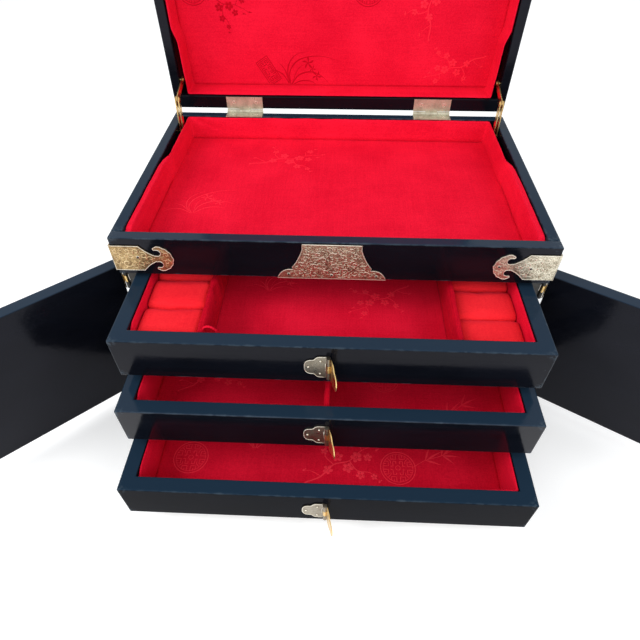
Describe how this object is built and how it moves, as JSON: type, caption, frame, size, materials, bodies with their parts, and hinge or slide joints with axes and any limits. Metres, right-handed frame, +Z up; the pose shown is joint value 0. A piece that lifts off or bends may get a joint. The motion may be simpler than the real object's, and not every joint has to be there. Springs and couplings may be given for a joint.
{
  "type": "jewelry chest",
  "caption": "Lacquered jewelry chest with a lift-up lid on folding stays over a lined tray, double front doors, and lined drawers with dividers, ring pads and hinge-like pulls.",
  "frame": {"origin": "centre of the flat underside of the base felt", "axes": "+X to the right as seen from the front, +Y to the back, +Z up"},
  "size_m": [0.6686, 0.431, 0.4395],
  "materials": {
    "black_lacquer": "deep gloss lacquer",
    "red_damask": "tone-on-tone woven damask",
    "engraved_brass": "engraved, lightly aged",
    "plain_brass": "satin",
    "bare_board": "unfinished",
    "base_felt": "matt felt"
  },
  "bodies": {
    "carcass": {"base_felt": "base_felt", "plinth": "black_lacquer", "bottom_board": "black_lacquer", "front_apron": "black_lacquer", "back_panel": "black_lacquer", "left_side_panel": "black_lacquer", "right_side_panel": "black_lacquer", "compartment_floor": "bare_board", "dust_board_1": "black_lacquer", "dust_board_2": "black_lacquer", "tray_lining": "red_damask", "left_corner_plate": "engraved_brass", "right_corner_plate": "engraved_brass", "lock_plate": "engraved_brass", "left_lid_hinge_body_leaf": "plain_brass", "right_lid_hinge_body_leaf": "plain_brass", "left_stay_lower_pin": "plain_brass", "right_stay_lower_pin": "plain_brass", "left_door_lower_hinge_side_leaf": "plain_brass", "left_door_upper_hinge_side_leaf": "plain_brass", "right_door_lower_hinge_side_leaf": "plain_brass", "right_door_upper_hinge_side_leaf": "plain_brass"},
    "lid": {"lid_frame": "black_lacquer", "lid_top_panel": "black_lacquer", "lid_lining": "red_damask", "left_lid_hinge_lid_leaf": "plain_brass", "right_lid_hinge_lid_leaf": "plain_brass", "left_stay_upper_pin": "plain_brass", "right_stay_upper_pin": "plain_brass"},
    "stay_lower_left": {"left_stay_lower_link": "plain_brass"},
    "stay_upper_left": {"left_stay_upper_link": "plain_brass"},
    "stay_lower_right": {"right_stay_lower_link": "plain_brass"},
    "stay_upper_right": {"right_stay_upper_link": "plain_brass"},
    "door_left": {"left_door": "black_lacquer", "left_door_lower_hinge_door_leaf": "plain_brass", "left_door_upper_hinge_door_leaf": "plain_brass"},
    "door_right": {"right_door": "black_lacquer", "right_door_lower_hinge_door_leaf": "plain_brass", "right_door_upper_hinge_door_leaf": "plain_brass"},
    "drawer_1": {"drawer_1_frame": "black_lacquer", "drawer_1_bottom": "bare_board", "drawer_1_lining": "red_damask", "pull_1_fixed_leaf": "engraved_brass", "drawer_1_divider_left": "red_damask", "drawer_1_divider_right": "red_damask", "ring_pads_left": "red_damask", "ring_pads_right": "red_damask"},
    "pull_1": {"pull_1_free_leaf": "engraved_brass"},
    "drawer_2": {"drawer_2_frame": "black_lacquer", "drawer_2_bottom": "bare_board", "drawer_2_lining": "red_damask", "pull_2_fixed_leaf": "engraved_brass", "drawer_2_divider": "red_damask"},
    "pull_2": {"pull_2_free_leaf": "engraved_brass"},
    "drawer_3": {"drawer_3_frame": "black_lacquer", "drawer_3_bottom": "bare_board", "drawer_3_lining": "red_damask", "pull_3_fixed_leaf": "engraved_brass"},
    "pull_3": {"pull_3_free_leaf": "engraved_brass"}
  },
  "joints": [
    {"name": "lid_hinge", "type": "hinge", "parent": "carcass", "child": "lid", "pos_m": [0, 0.1185, 0.2055], "axis": [1, 0, 0], "range_deg": [0, 90]},
    {"name": "left_stay_lower", "type": "hinge", "parent": "carcass", "child": "stay_lower_left", "pos_m": [0, 0.0875, 0.19679], "axis": [1, 0, 0], "range_deg": [0, 90]},
    {"name": "left_stay_upper", "type": "hinge", "parent": "stay_lower_left", "child": "stay_upper_left", "pos_m": [0, 0.0912, 0.22877], "axis": [1, 0, 0], "range_deg": [-90, 0]},
    {"name": "right_stay_lower", "type": "hinge", "parent": "carcass", "child": "stay_lower_right", "pos_m": [0, 0.0875, 0.19679], "axis": [1, 0, 0], "range_deg": [0, 90]},
    {"name": "right_stay_upper", "type": "hinge", "parent": "stay_lower_right", "child": "stay_upper_right", "pos_m": [0, 0.0912, 0.22877], "axis": [1, 0, 0], "range_deg": [-90, 0]},
    {"name": "left_door_hinge", "type": "hinge", "parent": "carcass", "child": "door_left", "pos_m": [-0.1824, -0.10325, 0.0935], "axis": [0, 0, 1], "range_deg": [-42, 48]},
    {"name": "right_door_hinge", "type": "hinge", "parent": "carcass", "child": "door_right", "pos_m": [0.1824, -0.10325, 0.0935], "axis": [0, 0, 1], "range_deg": [-58, 31]},
    {"name": "drawer_1_slide", "type": "slide", "parent": "carcass", "child": "drawer_1", "axis": [0, -1, 0], "range_m": [-0.09, 0.08]},
    {"name": "pull_1_hinge", "type": "hinge", "parent": "drawer_1", "child": "pull_1", "pos_m": [0, -0.1906, 0.1417], "axis": [0, 0, 1], "range_deg": [-98, 75]},
    {"name": "drawer_2_slide", "type": "slide", "parent": "carcass", "child": "drawer_2", "axis": [0, -1, 0], "range_m": [-0.1187, 0.0513]},
    {"name": "pull_2_hinge", "type": "hinge", "parent": "drawer_2", "child": "pull_2", "pos_m": [0, -0.2193, 0.0902], "axis": [0, 0, 1], "range_deg": [-98, 75]},
    {"name": "drawer_3_slide", "type": "slide", "parent": "carcass", "child": "drawer_3", "axis": [0, -1, 0], "range_m": [-0.1591, 0.0109]},
    {"name": "pull_3_hinge", "type": "hinge", "parent": "drawer_3", "child": "pull_3", "pos_m": [0, -0.2597, 0.0387], "axis": [0, 0, 1], "range_deg": [-98, 75]}
  ],
  "couplings": [
    {"joint": "left_stay_lower", "follows": "lid_hinge", "ratio": 1},
    {"joint": "left_stay_upper", "follows": "lid_hinge", "ratio": -1},
    {"joint": "right_stay_lower", "follows": "lid_hinge", "ratio": 1},
    {"joint": "right_stay_upper", "follows": "lid_hinge", "ratio": -1}
  ]
}
